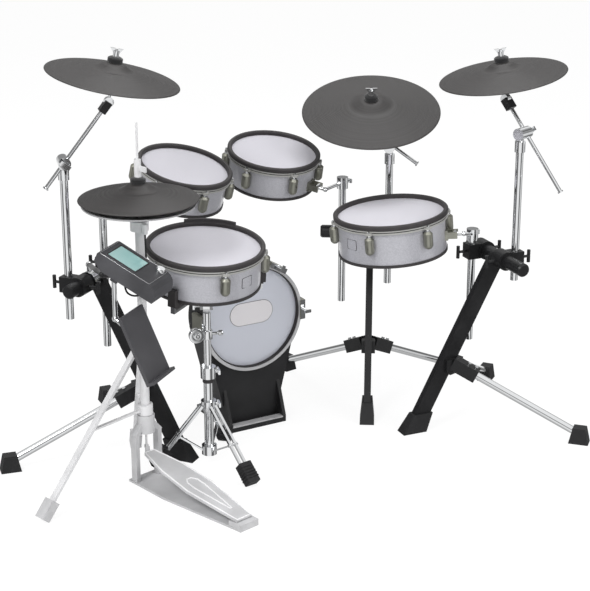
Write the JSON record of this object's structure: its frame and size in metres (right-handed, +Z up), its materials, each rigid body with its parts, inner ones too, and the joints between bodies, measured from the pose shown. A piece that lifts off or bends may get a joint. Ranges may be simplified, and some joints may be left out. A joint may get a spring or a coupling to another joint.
{
  "type": "electronic drum kit",
  "caption": "Electronic drum kit: mesh-head drum pads, rubber cymbal pads, hi-hat on a pedal stand, kick pad tower and sound module on folding tripod rack stands.",
  "frame": {"origin": "on the floor, under the middle of the outer box without the lead", "axes": "+X to the player's right, along the longest extent; +Y away from the player; +Z up, along the shortest extent"},
  "size_m": [1.6438, 1.209, 1.1362],
  "materials": {
    "black_steel": "satin black",
    "chrome": "polished chrome",
    "rubber": "matt black",
    "pad_rubber": "matt charcoal",
    "shell": "silver sparkle wrap",
    "mesh": "woven mesh",
    "gunmetal": "satin grey casting",
    "sensor": "matt black",
    "pale_steel": "satin pale grey",
    "black_plastic": "fine textured black",
    "case": "matt dark grey",
    "screen": "clear over pale blue",
    "tray": "satin dark grey"
  },
  "bodies": {
    "stands": {"hihat_lead": "rubber", "hihat_lower_pad": "pad_rubber", "hihat_stand": "pale_steel", "kick_head": "mesh", "kick_hoop": "gunmetal", "kick_pedal_plate": "chrome", "kick_sensor": "sensor", "kick_tower": "black_plastic", "module_arm": "black_steel", "rack_base_tubes": "chrome", "rack_clamps": "black_steel", "rack_hubs": "black_steel", "rack_legs": "black_steel", "snare_tripod": "chrome", "stand_feet": "rubber"},
    "crash_left_post": {"crash_left_post": "chrome"},
    "crash_left_boom": {"crash_left_boom": "chrome"},
    "crash_left_tilter": {"crash_left_tilter": "chrome"},
    "crash_left_pad": {"crash_left_pad": "pad_rubber"},
    "crash_right_post": {"crash_right_post": "chrome"},
    "crash_right_boom": {"crash_right_boom": "chrome"},
    "crash_right_tilter": {"crash_right_tilter": "chrome"},
    "crash_right_pad": {"crash_right_pad": "pad_rubber"},
    "ride_post": {"ride_post": "chrome"},
    "ride_boom": {"ride_boom": "chrome"},
    "ride_tilter": {"ride_tilter": "chrome"},
    "ride_pad": {"ride_pad": "pad_rubber"},
    "tom_high_post": {"tom_high_post": "chrome"},
    "tom_high": {"tom_high_shell": "shell", "tom_high_rims": "rubber", "tom_high_head": "mesh", "tom_high_hardware": "gunmetal", "tom_high_sensor": "sensor"},
    "tom_mid_post": {"tom_mid_post": "chrome"},
    "tom_mid": {"tom_mid_shell": "shell", "tom_mid_rims": "rubber", "tom_mid_head": "mesh", "tom_mid_hardware": "gunmetal", "tom_mid_sensor": "sensor"},
    "tom_floor_post": {"tom_floor_post": "chrome"},
    "tom_floor": {"tom_floor_shell": "shell", "tom_floor_rims": "rubber", "tom_floor_head": "mesh", "tom_floor_hardware": "gunmetal", "tom_floor_sensor": "sensor"},
    "snare_upper": {"snare_upper": "chrome"},
    "snare": {"snare_basket": "chrome", "snare_grips": "rubber", "snare_shell": "shell", "snare_rims": "rubber", "snare_head": "mesh", "snare_hardware": "gunmetal", "snare_sensor": "sensor"},
    "hihat_footboard": {"hihat_footboard": "pale_steel"},
    "hihat_upper": {"hihat_pull_rod": "chrome", "hihat_upper_pad": "pad_rubber"},
    "module": {"module_case": "case", "module_screen": "screen"},
    "module_knob": {"module_knob": "chrome"},
    "tray": {"tray": "tray"}
  },
  "joints": [
    {"name": "crash_left_height", "type": "slide", "parent": "stands", "child": "crash_left_post", "axis": [0, 0, 1], "range_m": [-0.1, 0.06]},
    {"name": "crash_left_boom_angle", "type": "hinge", "parent": "crash_left_post", "child": "crash_left_boom", "pos_m": [-0.61842, -0.13732, 0.835], "axis": [0.2481, -0.9687, 0], "range_deg": [-15, 15]},
    {"name": "crash_left_tilt", "type": "hinge", "parent": "crash_left_boom", "child": "crash_left_tilter", "pos_m": [-0.49922, -0.10679, 0.99213], "axis": [0.2481, -0.9687, 0], "range_deg": [-20, 20]},
    {"name": "crash_left_swing", "type": "hinge", "parent": "crash_left_tilter", "child": "crash_left_pad", "pos_m": [-0.48244, -0.10865, 1.07932], "axis": [0.2481, -0.9687, 0], "range_deg": [-5, 5], "stiffness_Nm_per_rad": 4},
    {"name": "crash_right_height", "type": "slide", "parent": "stands", "child": "crash_right_post", "axis": [0, 0, 1], "range_m": [-0.1, 0.03]},
    {"name": "crash_right_boom_angle", "type": "hinge", "parent": "crash_right_post", "child": "crash_right_boom", "pos_m": [0.62283, 0.12846, 0.853], "axis": [0.6697, 0.7426, 0], "range_deg": [-15, 15]},
    {"name": "crash_right_tilt", "type": "hinge", "parent": "crash_right_boom", "child": "crash_right_tilter", "pos_m": [0.57011, 0.17601, 0.93783], "axis": [0.6697, 0.7426, 0], "range_deg": [-20, 20]},
    {"name": "crash_right_swing", "type": "hinge", "parent": "crash_right_tilter", "child": "crash_right_pad", "pos_m": [0.55635, 0.17157, 1.02545], "axis": [0.6697, 0.7426, 0], "range_deg": [-5, 5], "stiffness_Nm_per_rad": 4},
    {"name": "ride_height", "type": "slide", "parent": "stands", "child": "ride_post", "axis": [0, 0, 1], "range_m": [-0.02, 0.08]},
    {"name": "ride_boom_angle", "type": "hinge", "parent": "ride_post", "child": "ride_boom", "pos_m": [0.26983, 0.4183, 0.745], "axis": [0.2432, 0.97, 0], "range_deg": [-8, 15]},
    {"name": "ride_tilt", "type": "hinge", "parent": "ride_boom", "child": "ride_tilter", "pos_m": [0.20974, 0.43337, 0.78648], "axis": [0.2432, 0.97, 0], "range_deg": [-14, 20]},
    {"name": "ride_swing", "type": "hinge", "parent": "ride_tilter", "child": "ride_pad", "pos_m": [0.20796, 0.40407, 0.8703], "axis": [0.2432, 0.97, 0], "range_deg": [-5, 5], "stiffness_Nm_per_rad": 4},
    {"name": "tom_high_height", "type": "slide", "parent": "stands", "child": "tom_high_post", "axis": [0, 0, 1], "range_m": [-0.05, 0.06]},
    {"name": "tom_high_angle", "type": "hinge", "parent": "tom_high_post", "child": "tom_high", "pos_m": [-0.45982, 0.12016, 0.68281], "axis": [0.5785, -0.7737, -0.2583], "range_deg": [-10, 10]},
    {"name": "tom_mid_height", "type": "slide", "parent": "stands", "child": "tom_mid_post", "axis": [0, 0, 1], "range_m": [-0.05, 0.06]},
    {"name": "tom_mid_angle", "type": "hinge", "parent": "tom_mid_post", "child": "tom_mid", "pos_m": [0.05045, 0.33343, 0.63969], "axis": [0.4385, 0.8921, 0.1094], "range_deg": [-10, 10]},
    {"name": "tom_floor_height", "type": "slide", "parent": "stands", "child": "tom_floor_post", "axis": [0, 0, 1], "range_m": [-0.008, 0.06]},
    {"name": "tom_floor_angle", "type": "hinge", "parent": "tom_floor_post", "child": "tom_floor", "pos_m": [0.43107, 0.08406, 0.57387], "axis": [0.1762, 0.9842, 0.018], "range_deg": [-10, 10]},
    {"name": "snare_height", "type": "slide", "parent": "stands", "child": "snare_upper", "axis": [0, 0, 1], "range_m": [-0.04, 0.06]},
    {"name": "snare_tilt", "type": "hinge", "parent": "snare_upper", "child": "snare", "pos_m": [-0.2495, -0.18609, 0.45787], "axis": [1, 0, 0], "range_deg": [-8, 8]},
    {"name": "hihat_pedal", "type": "hinge", "parent": "stands", "child": "hihat_footboard", "pos_m": [-0.14475, -0.56732, 0.022], "axis": [-0.7193, -0.6947, 0], "range_deg": [0, 1.42]},
    {"name": "hihat_open", "type": "slide", "parent": "stands", "child": "hihat_upper", "axis": [0, 0, -1], "range_m": [0, 0.0095], "stiffness_N_per_m": 400, "springref_m": -0.06},
    {"name": "module_tilt", "type": "hinge", "parent": "stands", "child": "module", "pos_m": [-0.46411, -0.35307, 0.59519], "axis": [0.3746, 0.9272, 0], "range_deg": [-12, 15], "deforming": ["hihat_lead"]},
    {"name": "module_knob_turn", "type": "hinge", "parent": "module", "child": "module_knob", "pos_m": [-0.35679, -0.36213, 0.61176], "axis": [0.4065, -0.1642, 0.8988], "continuous": true},
    {"name": "tray_tilt", "type": "hinge", "parent": "stands", "child": "tray", "pos_m": [-0.42843, -0.379, 0.45001], "axis": [0.3746, 0.9272, 0], "range_deg": [-15, 15]}
  ],
  "couplings": [
    {"joint": "hihat_open", "follows": "hihat_pedal", "m_per_rad": 0.38396}
  ]
}
